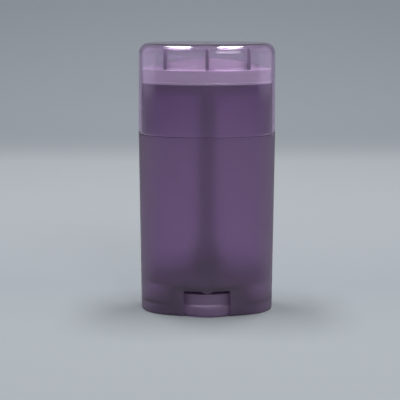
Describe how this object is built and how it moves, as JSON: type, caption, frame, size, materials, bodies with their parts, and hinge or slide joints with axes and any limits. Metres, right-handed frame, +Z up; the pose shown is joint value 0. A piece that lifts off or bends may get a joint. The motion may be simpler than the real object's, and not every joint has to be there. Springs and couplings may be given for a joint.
{
  "type": "empty deodorant stick container",
  "caption": "Oval twist-up stick container with a clear overcap, domed inner seal, elevator and a bottom hand wheel on a screw.",
  "frame": {"origin": "centre of the foot that the barrel stands on", "axes": "+Z up to the cap, +X across the broad face, -Y the front"},
  "size_m": [0.0612, 0.0366, 0.121],
  "materials": {
    "tinted_barrel": "satin, translucent violet polypropylene",
    "tinted_wheel": "satin, translucent violet polypropylene",
    "tinted_elevator": "satin, translucent violet polypropylene",
    "natural_seal": "satin, milky translucent polypropylene",
    "clear_cap": "polished, clear violet polypropylene"
  },
  "bodies": {
    "barrel": {"barrel": "tinted_barrel"},
    "wheel": {"screw_wheel": "tinted_wheel"},
    "elevator": {"elevator": "tinted_elevator"},
    "seal": {"inner_seal": "natural_seal"},
    "cap": {"cap": "clear_cap"}
  },
  "joints": [
    {"name": "wheel_turn", "type": "hinge", "parent": "barrel", "child": "wheel", "pos_m": [0, 0, 0], "axis": [0, 0, -1], "range_deg": [0, 5040]},
    {"name": "elevator_lift", "type": "slide", "parent": "barrel", "child": "elevator", "axis": [0, 0, 1], "range_m": [0, 0.07]},
    {"name": "seal_lift", "type": "slide", "parent": "barrel", "child": "seal", "axis": [0, 0, 1], "range_m": [0, 0.025]},
    {"name": "cap_lift", "type": "slide", "parent": "seal", "child": "cap", "axis": [0, 0, 1], "range_m": [0, 0.045]}
  ],
  "couplings": [
    {"joint": "elevator_lift", "follows": "wheel_turn", "m_per_rad": 0.00079577}
  ]
}
